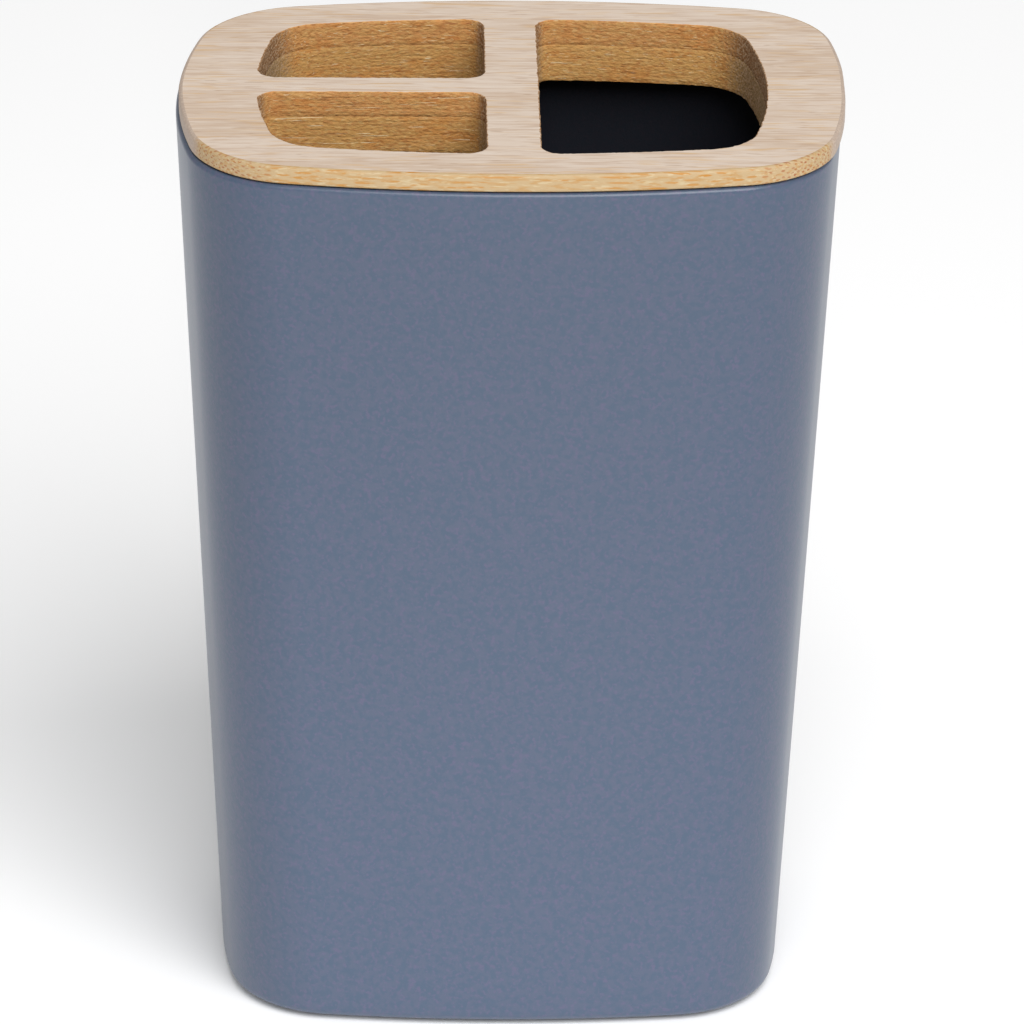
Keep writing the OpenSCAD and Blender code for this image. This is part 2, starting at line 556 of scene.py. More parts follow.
def stained(
    tree: Tree, ground: Colour | Socket, stain: str, pattern: Socket, amount: float | Socket = 1.0
) -> Socket:
    """Lays a stain over a ground where a pattern shows it.

    Args:
        tree: The material's tree.
        ground: The colour below.
        stain: The colour above, as sRGB hex.
        pattern: Where the stain lies, from 0 to 1.
        amount: How much of the ground the stain hides where it is full.

    Returns:
        The mixed colour.
    """
    share = add(tree, "ShaderNodeMath", {"operation": "MULTIPLY", 0: pattern, 1: amount})
    mix = {"data_type": "RGBA", MIX_FACTOR: share.outputs[0], MIX_A: ground, MIX_B: linear(stain)}
    return add(tree, "ShaderNodeMix", mix).outputs[MIX_RESULT]


@dataclass(frozen=True)
class Clouds:
    """A cloudy pattern, whose clouds have a size along X, Y and Z.

    It is 0 below one level of its noise and 1 above another. Its shift sets it apart from other patterns.
    """

    size: Triple
    start: float
    full: float
    shift: float = 0.0
    octaves: float = 2.0

    def draw(self, tree: Tree, place: Socket, shift: float = 0.0) -> Socket:
        """Draws the pattern.

        Args:
            tree: The material's tree.
            place: The place in millimetres.
            shift: How far the whole finish is shifted.

        Returns:
            The pattern, from 0 to 1.
        """
        scale, location = tuple(1.0 / length for length in self.size), (self.shift + shift,) * 3
        there = add(tree, "ShaderNodeMapping", {"Scale": scale, "Location": location, "Vector": place})
        fineness = {"Scale": 1.0, "Detail": self.octaves}
        cloud = add(tree, "ShaderNodeTexNoise", {**fineness, "Vector": there.outputs["Vector"]})
        levels = {"From Min": self.start, "From Max": self.full, "interpolation_type": "SMOOTHSTEP"}
        return add(tree, "ShaderNodeMapRange", {**levels, "Value": cloud.outputs["Fac"]}).outputs["Result"]


@dataclass(frozen=True, kw_only=True)
class Finish:
    """What every finish of the holder has: its name, its gloss and the relief of its texture.

    The relief is the real depth of the texture, and see_depth is how far light gets into the material.
    """

    name: str
    roughness: float
    ior: float
    relief: float
    relief_strength: float = 1.0
    see_through: float = 0.0
    see_depth: float = 1.0

    def build(self) -> bpy.types.Material:
        """Builds the material.

        Returns:
            The material.
        """
        material, tree = new_material(self.name)
        colour, height = self.surface(tree, millimetres(tree))
        bump = add(
            tree,
            "ShaderNodeBump",
            {"Strength": self.relief_strength, "Distance": self.relief * MM, "Height": height},
        )
        shader = add(
            tree,
            "ShaderNodeBsdfPrincipled",
            {
                "Base Color": colour,
                "Normal": bump.outputs["Normal"],
                "Roughness": self.roughness,
                "IOR": self.ior,
                "Subsurface Weight": self.see_through,
                "Subsurface Scale": self.see_depth * MM,
            },
        )
        add(tree, "ShaderNodeOutputMaterial", {"Surface": shader.outputs["BSDF"]})
        return material

    def surface(self, tree: Tree, place: Socket) -> tuple[Socket, Socket]:
        """Draws the finish's own patterns.

        Args:
            tree: The material's tree.
            place: The place in millimetres.

        Returns:
            The colour, and the height of the surface in its relief, from 0 to 1.
        """
        raise NotImplementedError


@dataclass(frozen=True)
class Streaks:
    """One kind of streak in the wood: a line along the grain, and a speck where the grain is cut across.

    A streak starts to show at one level of a cloudy pattern and is full at another.
    """

    colour: str
    length: float
    width: float
    start: float
    full: float
    amount: float

    def clouds(self) -> Clouds:
        """Gives the streaks' pattern: clouds drawn out along the grain."""
        return Clouds((self.length, self.width, self.width), self.start, self.full)


@dataclass(frozen=True)
class EndGrain:
    """The dry, patchy look of a wall that cuts the fibres, from one level of end grain to another."""

    colour: str
    patch: str
    start: float = 0.88
    full: float = 0.96
    patches: Clouds = Clouds((0.5, 0.3, 0.3), 0.46, 0.6, shift=53.0, octaves=3.0)


@dataclass(frozen=True, kw_only=True)
class BambooFinish(Finish):
    """Laminated bamboo board with its fibres along X, sanded or routed, and left without lacquer.

    Bamboo has no growth rings. What the eye sees is its fibre bundles, darker threads about 0.3 mm thick
    and 0.5 to 0.6 mm apart in a paler ground. They are one pattern in space, so that the same threads show
    as dots on end grain and as dashes wherever a face runs along them. Bare wood is dry, with no sheen.
    """

    roughness: float = 0.6
    ior: float = 1.5
    ground: str
    # The fibre bundles, seen along the grain and where they are cut across
    bundle: str
    bundle_across: str = "#9c5c38"
    bundle_amount: float
    bundle_pitch: float = 0.6
    bundle_radius: float = 0.155
    # How far the bundles stray from even rows, how soft their sides are, and the strength of the weakest
    bundle_disorder: float = 0.5
    bundle_blur: float = 0.3
    bundle_weakest: float = 0.55
    # How deep the bundles lie below the ground, as a share of the relief
    bundle_sink: float = 0.5
    bundle_dashes: Clouds = Clouds((2.2, 0.5, 0.5), 0.36, 0.46, shift=3.0, octaves=1.0)
    # Levels of end grain up to which a wall runs along the fibres, and from which it cuts across them
    along: float = 0.15
    across: float = 0.5
    streaks: tuple[Streaks, ...]
    fuzz: Clouds = Clouds((0.55, 0.22, 0.22), 0.3, 0.7, shift=31.0, octaves=3.0)
    # How wide the threads sway, and how often they do in a metre along X, Y and Z
    sway: float = 1.6
    sways: Triple = (30.0, 110.0, 110.0)
    end: EndGrain | None = None
    shift: float = 0.0

    def surface(self, tree: Tree, place: Socket) -> tuple[Socket, Socket]:
        """Draws the ground, the bundles, the streaks, the end grain and the fuzz of lifted fibres.

        Args:
            tree: The material's tree.
            place: The place in millimetres.

        Returns:
            The colour, and the height of the surface in its relief.
        """
        threads = self.swaying(tree, place)
        bundle = self.bundles(tree, threads)
        shown = add(tree, "ShaderNodeMath", {"operation": "MULTIPLY", 0: bundle, 1: self.bundle_amount})
        colour = linear(self.ground)
        looks = ((self.bundle, self.across, self.along), (self.bundle_across, self.along, self.across))
        for stain, none, full in looks:
            colour = stained(tree, colour, stain, shown.outputs[0], cut_across(tree, none, full))
        for number, streak in enumerate(self.streaks):
            pattern = streak.clouds().draw(tree, threads, self.shift + STREAK_SHIFT * number)
            colour = stained(tree, colour, streak.colour, pattern, streak.amount)
        if self.end:
            squarely = cut_across(tree, self.end.start, self.end.full)
            patches = self.end.patches.draw(tree, place, self.shift)
            colour = stained(tree, colour, self.end.colour, squarely)
            colour = stained(tree, colour, self.end.patch, patches, squarely)
        fuzz = self.fuzz.draw(tree, place, self.shift)
        sunk = {"operation": "MULTIPLY_ADD", 0: bundle, 1: -self.bundle_sink, 2: fuzz}
        return colour, add(tree, "ShaderNodeMath", sunk).outputs[0]

    def swaying(self, tree: Tree, place: Socket) -> Socket:
        """Bends the place a little, because the threads of a cane never run quite straight.

        Args:
            tree: The material's tree.
            place: The place in millimetres.

        Returns:
            The place among the threads, in millimetres.
        """
        often = {"Scale": tuple(MM * times for times in self.sways), "Vector": place}
        there = add(tree, "ShaderNodeMapping", often).outputs["Vector"]
        cloud = add(tree, "ShaderNodeTexNoise", {"Scale": 1.0, "Detail": 1.0, "Vector": there})
        full, half = self.sway, self.sway / 2.0
        sideways = {0: cloud.outputs["Color"], 1: (0.0, full, full), 2: (self.shift, -half, -half)}
        sway = add(tree, "ShaderNodeVectorMath", {"operation": "MULTIPLY_ADD", **sideways}).outputs[0]
        return add(tree, "ShaderNodeVectorMath", {"operation": "ADD", 0: place, 1: sway}).outputs[0]

    def bundles(self, tree: Tree, threads: Socket) -> Socket:
        """Draws the fibre bundles: threads along X in staggered rows, each of its own strength, in dashes.

        Args:
            tree: The material's tree.
            threads: The place among the threads.

        Returns:
            The pattern, from 0 to 1.
        """
        scale, turn = (1.0 / self.bundle_pitch,) * 3, (0.0, math.radians(90.0), math.radians(45.0))
        there = add(tree, "ShaderNodeMapping", {"Scale": scale, "Rotation": turn, "Vector": threads})
        rows = {"voronoi_dimensions": "2D", "Scale": 1.0, "Randomness": self.bundle_disorder}
        cell = add(tree, "ShaderNodeTexVoronoi", {**rows, "Vector": there.outputs["Vector"]})
        reach, blur = self.bundle_radius / self.bundle_pitch, self.bundle_blur
        sides = {"From Min": (1.0 + blur) * reach, "From Max": (1.0 - blur) * reach}
        soft = {**sides, "interpolation_type": "SMOOTHSTEP", "Value": cell.outputs["Distance"]}
        inside = add(tree, "ShaderNodeMapRange", soft).outputs["Result"]
        own = add(tree, "ShaderNodeSeparateColor", {"Color": cell.outputs["Color"]}).outputs["Red"]
        strengths = {"Value": own, "To Min": self.bundle_weakest, "To Max": 1.0}
        strength = add(tree, "ShaderNodeMapRange", strengths).outputs["Result"]
        whole = add(tree, "ShaderNodeMath", {"operation": "MULTIPLY", 0: inside, 1: strength}).outputs[0]
        dashes = self.bundle_dashes.draw(tree, threads, self.shift)
        return add(tree, "ShaderNodeMath", {"operation": "MULTIPLY", 0: whole, 1: dashes}).outputs[0]


@dataclass(frozen=True, kw_only=True)
class PlasticFinish(Finish):
    """Polypropylene, injection-moulded in a spark-eroded mould.

    It gives the eye one even, dry colour with a broad soft sheen where the wall turns, and a fine grain.
    The real grains are about 0.05 mm wide, finer than a pixel, which is 0.13 mm. So they are drawn as
    0.28 mm, and the uneven tone that they give the plastic as speckles of 0.9 mm and dust of 0.5 mm.
    """

    roughness: float = 0.32
    ior: float = 1.49
    relief: float = 0.006
    colour: str
    cooler: str
    warmer: str
    speckle: Clouds = Clouds((0.9, 0.9, 0.9), 0.4, 0.6, shift=11.0, octaves=3.0)
    dust: Clouds = Clouds((0.5, 0.5, 0.5), 0.5, 0.7, shift=3.0)
    grains: Clouds = Clouds((0.28, 0.28, 0.28), 0.2, 0.8, shift=5.0, octaves=1.0)

    def surface(self, tree: Tree, place: Socket) -> tuple[Socket, Socket]:
        """Draws the speckles, the dust and the grains.

        Args:
            tree: The material's tree.
            place: The place in millimetres.

        Returns:
            The colour, and the height of the surface in its relief.
        """
        colour = stained(tree, linear(self.colour), self.cooler, self.speckle.draw(tree, place))
        colour = stained(tree, colour, self.warmer, self.dust.draw(tree, place))
        return colour, self.grains.draw(tree, place)


@dataclass(frozen=True, kw_only=True)
class SiliconeFinish(Finish):
    """Silicone sheet, rolled and punched into pads.

    It gives the eye a soft, matt, milky grey that light enters to about 1 mm, with faint clouds of filler
    1 to 2 mm wide.
    """

    roughness: float = 0.55
    ior: float = 1.41
    relief: float = 0.02
    relief_strength: float = 0.6
    see_through: float = 0.25
    colour: str
    cloudy: str
    filler: Clouds = Clouds((1.6, 1.6, 1.6), 0.35, 0.7, shift=2.0, octaves=3.0)

    def surface(self, tree: Tree, place: Socket) -> tuple[Socket, Socket]:
        """Draws the clouds of filler.

        Args:
            tree: The material's tree.
            place: The place in millimetres.

        Returns:
            The colour, and the height of the surface in its relief.
        """
        filler = self.filler.draw(tree, place)
        return stained(tree, linear(self.colour), self.cloudy, filler), filler


class Side(IntEnum):
    """The tumbler's material slots."""

    OUTSIDE = 0
    # The inside, whose plastic is darkened with painted shade
    INSIDE = 1


@dataclass(frozen=True)
class Tumbler:
    """The moulded tumbler: straight tapered sides between a bowed base and a bowed rim."""

    rim_oval: BowedOval = BowedOval(
        half_length=42.25, half_width=29.65, long_radius=177.0, short_radius=76.0, corner_radius=14.7
    )
    base_oval: BowedOval = BowedOval(
        half_length=36.5, half_width=23.9, long_radius=192.0, short_radius=56.0, corner_radius=14.0
    )
    wall: float = 2.2
    rim_round: float = 0.7
    foot_round: float = 1.4
    # The ring under the base. Its inner side leans by the draft, and by the lean where its arris starts
    ring_width: float = 2.6
    ring_height: float = 1.0
    ring_draft: float = 0.3
    ring_arris: float = 0.25
    ring_lean: float = 0.05
    # The eased corner where the ring meets the recess: along the recess, and down the ring
    corner_run: float = 0.15
    corner_drop: float = 0.1
    floor_thickness: float = 2.4
    floor_fillet: float = 4.0
    floor_margin: float = 1.0
    gate_radius: float = 2.5
    gate_depth: float = 0.4
    pocket_radius: float = 4.1
    pocket_depth: float = 0.3
    pocket_ease: float = 0.08
    pocket_draft: float = 0.02
    # Facets of a short side, a corner and a long side, and the wall's sections from foot to rim
    facets: tuple[int, int, int] = (44, 26, 60)
    side_sections: int = 24

    def foot(self) -> float:
        """Gives the height of the foot ring's lowest face."""
        return cad_box("tumbler")[0].z

    def rim(self) -> float:
        """Gives the height of the rim."""
        return cad_box("tumbler")[1].z

    def outside(self, height: float) -> BowedOval:
        """Gives the outside outline at a height."""
        share = (height - self.foot()) / (self.rim() - self.foot())
        return self.base_oval.blended(self.rim_oval, share)

    def section(self, height: float, inset: float) -> Section:
        """Gives a section of the wall, drawn in from the outside by a distance."""
        return height, self.outside(height).inset(inset).outline(*self.facets)

    def build(self, finishes: Sequence[bpy.types.Material]) -> bpy.types.Object:
        """Models the tumbler from under its floor, round the foot and over the rim to its floor inside.

        Args:
            finishes: The plastic outside, and the plastic inside, whose colour is darkened with painted
                shade.

        Returns:
            The piece.
        """
        bm = bmesh.new()
        ceiling, brim = loft(bm, self.outer_skin(), Side.OUTSIDE)
        # The inside takes the plastic that is darkened with painted shade
        _, floor = loft(bm, self.inner_skin(), Side.INSIDE, brim)
        mouths, ends = self.sockets(bm)
        cap(bm, ceiling, *mouths)
        cap(bm, floor, finish=Side.INSIDE)
        for end in ends:
            cap(bm, end)
        return finished_piece(bm, "tumbler_shell", finishes, "holder", "tumbler")

    def outer_skin(self) -> list[Section]:
        """Models the outside in section.

        Returns:
            The sections from the recess under the floor, round the foot and up to the rim's inner edge.
        """
        foot, low = self.foot(), self.foot_round
        rim, high = self.rim(), self.rim_round
        recess = foot + self.ring_height
        ring = low + self.ring_width
        ceiling = ring + self.ring_draft + self.corner_run
        profile = [
            (recess, ceiling + FLAT_MARGIN),
            (recess, ceiling),
            (recess - self.corner_drop, ring + self.ring_draft),
            (foot + self.ring_arris, ring + self.ring_lean),
            (foot, ring + self.ring_lean - self.ring_arris),
            (foot, low + FLAT_MARGIN),
        ]
        profile += [(foot + low * down, low * inward) for inward, down in QUARTER_ROUND]
        rise = (rim - high - foot - low) / self.side_sections
        profile += [(foot + low + rise * step, 0.0) for step in range(1, self.side_sections)]
        profile += [(rim - high * inward, high * down) for inward, down in QUARTER_ROUND]
        profile += [(rim - high * inward, self.wall - high * down) for inward, down in QUARTER_ROUND[::-1]]
        return [self.section(height, inset) for height, inset in profile]

    def inner_skin(self) -> list[Section]:
        """Models the inside in section.

        Returns:
            The sections from below the rim to the floor.
        """
        floor, fillet = self.foot() + self.ring_height + self.floor_thickness, self.floor_fillet
        rise = (self.rim() - self.rim_round - floor - fillet) / self.side_sections
        steps = range(self.side_sections - 1, 0, -1)
        profile = [(floor + fillet + rise * step, self.wall) for step in steps]
        profile += [(floor + fillet * inward, self.wall + fillet * down) for inward, down in QUARTER_ROUND]
        profile.append((floor, self.wall + fillet + self.floor_margin))
        return [self.section(height, inset) for height, inset in profile]

    def sockets(self, bm: BMesh) -> tuple[list[Loop], list[Loop]]:
        """Sinks the pad pockets and the gate dimple into the recess.

        Args:
            bm: The mesh that is modelled.

        Returns:
            The loops where they break through the recess, and the loops of their ends.
        """
        recess = self.foot() + self.ring_height
        dimple = (circle((0.0, 0.0), self.gate_radius), self.gate_depth)
        pockets = [(circle(middle(node), self.pocket_radius), self.pocket_depth) for node in PAD_NODES]
        mouths, ends = [], []
        for hole, depth in (dimple, *pockets):
            reach = -self.pocket_draft - self.pocket_ease
            profile = (
                (0.0, self.pocket_ease),
                (self.pocket_ease, 0.0),
                (depth - self.pocket_ease, -self.pocket_draft),
                (depth, reach),
                (depth, reach - FLAT_MARGIN),
            )
            mouth, end = loft(bm, [(recess + rise, hole.grown(growth)) for rise, growth in profile])
            mouths.append(mouth)
            ends.append(end)
        return mouths, ends


class Layer(Enum):
    """The two bamboo layers of the lid."""

    FACE = "lid_face_layer"
    PLUG = "lid_plug_layer"


class Cut(IntEnum):
    """How the faces of the lid's upper layer were made, by material slot."""

    SANDED_FACE = 0
    SANDED_EDGE = 1
    ROUTED_WALL = 2


@dataclass(frozen=True)
class Lid:
    """The bamboo lid: a flange on the rim, a plug inside it and three routed openings."""

    tumbler: Tumbler
    # How far the flange's long sides lie inside the rim's
    step_side: float = 0.25
    top_round: float = 0.5
    arris: float = 0.3
    # The gap under the flange's edge: its height, how far in it reaches, and how far in it runs out
    rim_gap: float = 0.16
    gap_reach: float = 0.9
    gap_end: float = 0.25
    play: float = 0.75
    plug_chamfer: float = 0.6
    # Wood round and between the openings, and the openings' corners at the lid's edge and at the bars
    border_end: float = 9.9
    border_side: float = 7.0
    mid_bar: float = 6.8
    cross_bar: float = 4.9
    outer_radius: float = 6.9
    inner_radius: float = 2.4
    # How far edges are eased round the openings and along the glue line
    ease: float = 0.12
    glue_ease: float = 0.02
    mouth_margin: float = 0.2
    # Facets of the flange's short side, corner and long side, and steps along and down the openings
    facets: tuple[int, int, int] = (72, 38, 104)
    opening_step: float = 0.36
    wall_step: float = 0.6
    # How far routed fibres stand proud, and the size of the tufts
    fray: float = 0.12
    fray_size: float = 0.65
    # Finer tufts on the first ones, as shares of their size and height
    fray_fine_size: float = 0.4
    fray_fine: float = 0.6
    # How deep the fraying reaches from the open edge, and the share of it that goes on below
    fray_depth: float = 0.8
    fray_below: float = 0.25
    # How far outside the openings' long sides nothing is frayed any more
    fray_margin: float = 1.0
    # How far the rear leans to the right as a share of its depth, and between which levels of outward()
    lean: float = 0.042
    lean_start: float = 0.5
    lean_full: float = 0.9

    def top(self) -> float:
        """Gives the height of the lid's top face."""
        return cad_box(Layer.FACE.value)[1].z

    def glue_line(self) -> float:
        """Gives the height at which the two layers are glued."""
        return cad_box(Layer.FACE.value)[0].z

    def plug_foot(self) -> float:
        """Gives the height of the plug's lower face."""
        return cad_box(Layer.PLUG.value)[0].z

    def shift(self) -> float:
        """Gives how far the lid lies to the right of the middle, in its play."""
        return middle(Layer.FACE.value)[0]

    def edge_oval(self) -> BowedOval:
        """Gives the sizes of the flange's outline: as long as the rim, and a little narrower."""
        rim, side = self.tumbler.rim_oval, self.step_side
        return replace(rim.inset(side), half_length=rim.half_length, short_radius=rim.short_radius)

    def edge(self) -> Outline:
        """Gives the flange's outline, in place."""
        return self.edge_oval().outline(*self.facets).moved(self.shift())

    def plug(self) -> Outline:
        """Gives the plug's outline, in place."""
        oval = self.tumbler.outside(self.plug_foot()).inset(self.tumbler.wall + self.play)
        return oval.outline(*self.facets).moved(self.shift())

    def outward(self, point: Vector, oval: BowedOval) -> float:
        """Gives how far out a point lies in an oval of the lid: 0 at its middle and 1 near its edge."""
        return ((point.x - self.shift()) / oval.half_length) ** 4 + (point.y / oval.half_width) ** 4

    def openings(self) -> list[Outline]:
        """Draws the openings in place.

        Returns:
            The outlines of the right opening and of the two left ones.
        """
        edge = self.edge_oval()
        oval = BowedOval(
            edge.half_length - self.border_end,
            edge.half_width - self.border_side,
            edge.long_radius - self.border_side,
            edge.short_radius - self.border_end,
            self.outer_radius,
        )
        short = self.short_opening(oval)
        outlines = [self.long_opening(oval), short.mirrored(True, False), short.mirrored(True, True)]
        return [outline.moved(self.shift()) for outline in outlines]

    def arc(self, centre: tuple[float, float], radius: float, start: float, end: float) -> Arc:
        """Gives an arc of an opening, with facets of the openings' step."""
        steps = max(2, round(radius * math.radians(abs(end - start)) / self.opening_step))
        return Arc(centre, radius, start, end, steps)

    def bar_fillet(self, oval: BowedOval) -> tuple[tuple[float, float], float]:
        """Gives the fillet between the middle bar and the rear side.

        Args:
            oval: The outline round all the openings.

        Returns:
            The fillet's centre and the angle at which it meets the rear side.
        """
        x = self.mid_bar / 2.0 + self.inner_radius
        rise = math.sqrt((oval.long_radius - self.inner_radius) ** 2 - x**2)
        return (x, oval.long_centre()[1] + rise), math.degrees(math.atan2(rise, x))

    def rear_arcs(self, oval: BowedOval) -> tuple[Arc, Arc, Arc]:
        """Gives what all openings have at the rear.

        Args:
            oval: The outline round all the openings.

        Returns:
            The arcs of the outer corner, of the rear side and of the fillet at the middle bar.
        """
        short_angle, long_angle = oval.angles()
        fillet, meet = self.bar_fillet(oval)
        return (
            self.arc(oval.corner_centre(), oval.corner_radius, short_angle, long_angle),
            self.arc(oval.long_centre(), oval.long_radius, long_angle, meet),
            self.arc(fillet, self.inner_radius, meet, 180.0),
        )

    def long_opening(self, oval: BowedOval) -> Outline:
        """Gives the right opening, which runs from front to rear.

        Args:
            oval: The outline round all the openings.

        Returns:
            The opening's outline.
        """
        short_angle, _ = oval.angles()
        side = self.arc(oval.short_centre(), oval.short_radius, -short_angle, short_angle)
        rear = self.rear_arcs(oval)
        front = [arc.mirrored(False, True).backwards() for arc in reversed(rear)]
        return Outline((side, *rear, *front), self.opening_step)

    def short_opening(self, oval: BowedOval) -> Outline:
        """Gives a short opening as it would lie at the rear right, to be mirrored to its place.

        Args:
            oval: The outline round all the openings.

        Returns:
            The opening's outline.
        """
        short_angle, _ = oval.angles()
        radius = self.inner_radius
        y = self.cross_bar / 2.0 + radius
        run = math.sqrt((oval.short_radius - radius) ** 2 - y**2)
        meet = math.degrees(math.atan2(y, run))
        arcs = (
            self.arc(oval.short_centre(), oval.short_radius, meet, short_angle),
            *self.rear_arcs(oval),
            self.arc((self.mid_bar / 2.0 + radius, y), radius, 180.0, 270.0),
            self.arc((oval.short_centre()[0] + run, y), radius, 270.0, 360.0 + meet),
        )
        return Outline(arcs, self.opening_step)

    def upright(self, high: float, low: float, outline: Outline) -> list[Section]:
        """Gives sections down an upright wall, without its first and last height."""
        count = max(2, round((high - low) / self.wall_step))
        return [(high + (low - high) * step / count, outline) for step in range(1, count)]

    def build_face(self, finishes: Sequence[bpy.types.Material]) -> bpy.types.Object:
        """Models the upper layer, with the flange.

        Args:
            finishes: The sanded face, the sanded edge and the routed wall.

        Returns:
            The piece.
        """
        bm = bmesh.new()
        edge, plug = self.edge(), self.plug()
        top, rim, glue = self.top(), self.tumbler.rim(), self.glue_line()
        gap = rim + self.rim_gap
        flat = (top, edge.grown(-self.top_round - FLAT_MARGIN))
        brow, *over = rounded_edge(top, self.top_round, self.top_round, edge)
        upper, loop = loft(bm, [flat, brow], Cut.SANDED_FACE)
        side = self.upright(top - self.top_round, gap + self.arris, edge)
        under = rounded_edge(gap, -self.arris, self.arris, edge)[::-1]
        _, loop = loft(bm, [*over, *side, *under], Cut.SANDED_EDGE, loop)
        seat = [
            (gap, edge.grown(-self.gap_reach)),
            (rim, edge.grown(-self.gap_reach - self.gap_end)),
            (rim, plug.grown(FLAT_MARGIN)),
            (rim, plug),
        ]
        neck = self.upright(rim, glue, plug)
        _, loop = loft(bm, [*seat, *neck, *self.glued_edge(glue, 1.0, plug)], Cut.ROUTED_WALL, loop)
        mouths, ends = self.cut_openings(bm, (top, self.ease), (glue, self.glue_ease), Cut.ROUTED_WALL)
        cap(bm, upper, *mouths, finish=Cut.SANDED_FACE)
        cap(bm, loop, *ends, finish=Cut.ROUTED_WALL)
        self.fray_walls(bm, top)
        self.lean_rear(bm)
        piece = finished_piece(bm, "lid_face_board", finishes, "lid", Layer.FACE.value)
        mark_end_grain(piece)
        return piece

    def build_plug(self, finish: bpy.types.Material) -> bpy.types.Object:
        """Models the lower layer.

        Args:
            finish: The routed wood.

        Returns:
            The piece.
        """
        bm = bmesh.new()
        plug, chamfer = self.plug(), self.plug_chamfer
        glue, foot = self.glue_line(), self.plug_foot()
        lowest = [
            (foot + chamfer, plug),
            (foot, plug.grown(-chamfer)),
            (foot, plug.grown(-chamfer - FLAT_MARGIN)),
        ]
        wall = self.upright(glue, foot + chamfer, plug)
        upper, lower = loft(bm, [*self.glued_edge(glue, -1.0, plug)[::-1], *wall, *lowest])
        mouths, ends = self.cut_openings(bm, (glue, self.glue_ease), (foot, self.ease))
        cap(bm, upper, *mouths)
        cap(bm, lower, *ends)
        self.fray_walls(bm, foot)
        piece = finished_piece(bm, "lid_plug_board", [finish], "lid", Layer.PLUG.value)
        mark_end_grain(piece)
        return piece

    def glued_edge(self, glue: float, up: float, plug: Outline) -> list[Section]:
        """Gives the slightly eased edge of a layer's glued face.

        Args:
            glue: The height of the glue line.
            up: 1 for the layer above the glue line, or -1 for the one below it.
            plug: The plug's outline.

        Returns:
            The sections from the wall to the glued face.
        """
        return [
            (glue + up * self.glue_ease, plug),
            (glue, plug.grown(-self.glue_ease)),
            (glue, plug.grown(-self.glue_ease - FLAT_MARGIN)),
        ]

    def mouth(self, face: float, drop: float, opening: Outline) -> list[Section]:
        """Gives the eased edge of an opening, rounded in two facets.

        Args:
            face: The height of the face that the opening breaks through.
            drop: How far the wall starts below the face, or above it if negative.
            opening: The opening's outline.

        Returns:
            The sections from the face to the wall.
        """
        ease = abs(drop)
        return [
            (face, opening.grown(ease + self.mouth_margin)),
            (face, opening.grown(ease)),
            (face - EASE_MIDDLE * drop, opening.grown(EASE_MIDDLE * ease)),
            (face - drop, opening),
        ]

    def cut_openings(
        self, bm: BMesh, high: tuple[float, float], low: tuple[float, float], finish: int = 0
    ) -> tuple[list[Loop], list[Loop]]:
        """Models the walls of the openings through one layer.

        Args:
            bm: The layer's mesh.
            high: The height of the layer's upper face, and how far the openings are eased there.
            low: The same at its lower face.
            finish: The material slot of the walls.

        Returns:
            The loops in the upper face and those in the lower one.
        """
        mouths, ends = [], []
        for opening in self.openings():
            flat, brink, *upper = self.mouth(*high, opening)
            lower = self.mouth(low[0], -low[1], opening)[::-1]
            wall = self.upright(high[0] - high[1], low[0] + low[1], opening)
            mouth, edge = loft(bm, [flat, brink])
            _, end = loft(bm, [*upper, *wall, *lower], finish, edge)
            mouths.append(mouth)
            ends.append(end)
        return mouths, ends

    def lean_rear(self, bm: BMesh) -> None:
        """Leans the flange's rear corners to the right, because the lid was sanded to its outline by hand.

        Args:
            bm: The upper layer's mesh.
        """
        oval, limit = self.edge_oval(), cad_box(Layer.FACE.value)[1].x
        for vert in bm.verts:
            share = soft_step(self.outward(vert.co, oval), self.lean_start, self.lean_full)
            vert.co.x = min(vert.co.x + self.lean * max(vert.co.y, 0.0) * share, limit)

    def fray_walls(self, bm: BMesh, open_face: float) -> None:
        """Frays the routed walls a little, most at their open edge, where the cutter lifts the fibres.

        Args:
            bm: The layer's mesh.
            open_face: The height of the open edge.
        """
        inner = self.edge_oval().inset(self.border_side - self.fray_margin)
        noise.seed_set(FRAY_SEED)
        for vert in bm.verts:
            if self.outward(vert.co, inner) > 1.0:
                continue
            near = math.exp(-abs(vert.co.z - open_face) / self.fray_depth)
            tuft = noise.noise_vector(vert.co / self.fray_size)
            fine = noise.noise_vector(vert.co / (self.fray_fine_size * self.fray_size))
            height = self.fray * (self.fray_below + (1.0 - self.fray_below) * near)
            push = (tuft + self.fray_fine * fine) * height
            vert.co += Vector((push.x, push.y, 0.0))


@dataclass(frozen=True)
class FootPads:
    """The four punched pads under the base, each rounded at the face that it stands on."""

    edge_round: float = 0.3
    ease: float = 0.05

    def build(self, finish: bpy.types.Material) -> list[bpy.types.Object]:
        """Models each pad in its pocket.

        Args:
            finish: The silicone.

        Returns:
            The pads.
        """
        return [self.build_pad(node, finish) for node in PAD_NODES]

    def build_pad(self, node: str, finish: bpy.types.Material) -> bpy.types.Object:
        """Models one pad.

        Args:
            node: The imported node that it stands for.
            finish: The silicone.

        Returns:
            The pad.
        """
        low, high = cad_box(node)
        disc = circle(middle(node), (high.x - low.x) / 2.0)
        flat = (low.z, disc.grown(-self.edge_round - FLAT_MARGIN))
        edge = rounded_edge(low.z, -self.edge_round, self.edge_round, disc)
        above = [
            (high.z - self.ease, disc),
            (high.z, disc.grown(-self.ease)),
            (high.z, disc.grown(-self.ease - FLAT_MARGIN)),
        ]
        bm = bmesh.new()
        first, last = loft(bm, [flat, *edge, *above])
        cap(bm, first)
        cap(bm, last)
        return finished_piece(bm, node.replace("foot_pad", "pad"), [finish], "holder", node)


